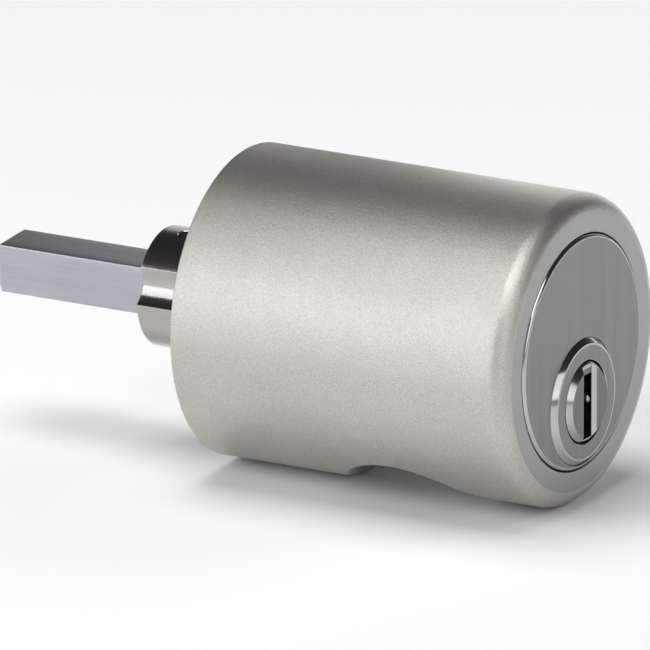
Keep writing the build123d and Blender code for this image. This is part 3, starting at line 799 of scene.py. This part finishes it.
makeFloor()
print("floor laid")

roomSettings = {
    "stops": ((0.0, 0.5), (0.10, 0.40), (0.50, 0.08), (1.0, 0.03)),  # height above the horizon, level
    "blue": 1.01, "paleSide": (-0.80, 0.60, 0.0), "sideLevels": (0.35, 1.3),
}


def makeWorld():
    # soft studio room: pale near the horizon on the left and behind, dark overhead and at the right front
    world = bpy.data.worlds.new("studio")
    bpy.context.scene.world = world
    world.use_nodes = True
    tree = world.node_tree
    background = tree.nodes["Background"]
    place = addNode(tree, "ShaderNodeTexCoord").outputs["Generated"]
    split = addNode(tree, "ShaderNodeSeparateXYZ")
    tree.links.new(place, split.inputs[0])
    ramp = addNode(tree, "ShaderNodeValToRGB")
    ramp.color_ramp.interpolation = "EASE"
    stops = roomSettings["stops"]
    while len(ramp.color_ramp.elements) < len(stops):
        ramp.color_ramp.elements.new(0.5)  # the loop below puts it in its place
    for element, (at, level) in zip(ramp.color_ramp.elements, stops):
        element.position = at
        element.color = (level, level, level * roomSettings["blue"], 1)
    tree.links.new(split.outputs["Z"], ramp.inputs[0])
    side = addNode(tree, "ShaderNodeVectorMath", operation="DOT_PRODUCT")
    tree.links.new(place, side.inputs[0])
    side.inputs[1].default_value = roomSettings["paleSide"]
    low, high = roomSettings["sideLevels"]
    swing = mathNode(tree, "MULTIPLY", side.outputs["Value"], (high - low) / 2)
    tree.links.new(ramp.outputs[0], background.inputs["Color"])
    tree.links.new(mathNode(tree, "ADD", swing, (high + low) / 2), background.inputs["Strength"])


makeWorld()
print("room set")

# what a lamp has unless it says otherwise: seen in reflections, lights matt surfaces, plain white
plainLamp = {"glossy": True, "diffuse": True, "tone": (1, 1, 1)}
# place and aim in metres, size in metres, radiance of the soft box
lampSettings = {
    "sideSoft": {
        "place": (-0.72, 0.45, 0.31), "aim": (0, 0, 0), "size": (1.0, 0.56), "radiance": 1.9,
        "tone": (0.97, 0.985, 1.04),
    },
    "topSoft": {
        "place": (-0.14, -0.085, 0.25), "aim": (-0.10, -0.06, 0), "along": (1, 0, 0), "size": (0.20, 0.34),
        "radiance": 2.9, "diffuse": False,
    },
    "frontPanel": {
        "place": (0.10, -0.027, 0.04), "aim": (0, -0.045, 0.02), "size": (0.08, 0.08), "radiance": 1.2,
        "diffuse": False, "tone": (1.0, 0.99, 0.99),
    },
    "frontSoft": {
        "place": (-0.22, -0.62, 0.22), "aim": (0, -0.06, 0), "size": (0.60, 0.34), "radiance": 1.3,
        "diffuse": False,
    },
    "hubStrip": {
        "place": (0.34, 0.205, 0.165), "aim": (0, 0.01, 0.0), "size": (0.06, 0.40), "radiance": 0.6,
        "diffuse": False, "tone": (1.0, 0.99, 0.99),
    },
    "frontFill": {
        "place": (0.50, -0.50, 0.30), "aim": (0.05, -0.1, 0), "size": (0.5, 0.4), "radiance": 3.5,
        "glossy": False,
    },
    "keyFloor": {
        "place": (-0.60, 0.35, 0.50), "aim": (0, 0, 0), "size": (0.5, 0.5), "radiance": 3.0, "glossy": False,
    },
    "overhead": {
        "place": (0.0, 0.2, 1.2), "aim": (0, 0, 0), "size": (0.9, 0.9), "radiance": 4.6, "glossy": False,
    },
}


def makeLamp(name, settings):
    settings = {**plainLamp, **settings}
    data = bpy.data.lights.new(name, "AREA")
    data.shape = "RECTANGLE"
    data.size, data.size_y = settings["size"]
    data.energy = settings["radiance"] * math.pi * data.size * data.size_y
    data.color = settings["tone"]
    lamp = bpy.data.objects.new(name, data)
    place = mathutils.Vector(settings["place"])
    away = (place - mathutils.Vector(settings["aim"])).normalized()
    across = mathutils.Vector(settings.get("along", (-away.y, away.x, 0)))
    across = (across - away * across.dot(away)).normalized()
    turn = mathutils.Matrix((across, away.cross(across), away)).transposed().to_4x4()
    lamp.matrix_world = mathutils.Matrix.Translation(place) @ turn
    lamp.visible_glossy = settings["glossy"]
    lamp.visible_diffuse = settings["diffuse"]
    lamp.visible_camera = False
    bpy.context.scene.collection.objects.link(lamp)


for lampName, lamp in lampSettings.items():
    makeLamp(lampName, lamp)
print("lamps", len(lampSettings))

# shiftX and shiftY move the object right and up in the view; clip distances are metres
cameraSettings = {
    "azimuth": -60.338, "elevation": 16.584, "shiftX": -12.041, "shiftY": 4.198, "away": 3149.19,
    "focal": 1103.24, "sensor": 36.0, "clip": (0.1, 50.0),
}


def makeCamera():
    a = math.radians(cameraSettings["azimuth"])
    e = math.radians(cameraSettings["elevation"])
    back = np.array([math.sin(a) * math.cos(e), -math.cos(a) * math.cos(e), math.sin(e)])
    right = np.array([math.cos(a), math.sin(a), 0.0])
    up = np.cross(back, right)
    middle = -cameraSettings["shiftX"] * right - cameraSettings["shiftY"] * up
    place = (middle + cameraSettings["away"] * back) * mm
    data = bpy.data.cameras.new("camera")
    data.sensor_width = cameraSettings["sensor"]
    data.lens = cameraSettings["focal"]
    data.clip_start, data.clip_end = cameraSettings["clip"]
    camera = bpy.data.objects.new("camera", data)
    turn = mathutils.Matrix((right, up, back)).transposed().to_4x4()
    camera.matrix_world = mathutils.Matrix.Translation(tuple(place)) @ turn
    bpy.context.scene.collection.objects.link(camera)
    bpy.context.scene.camera = camera


makeCamera()
bpy.context.scene.view_settings.view_transform = "Standard"
print("camera set")
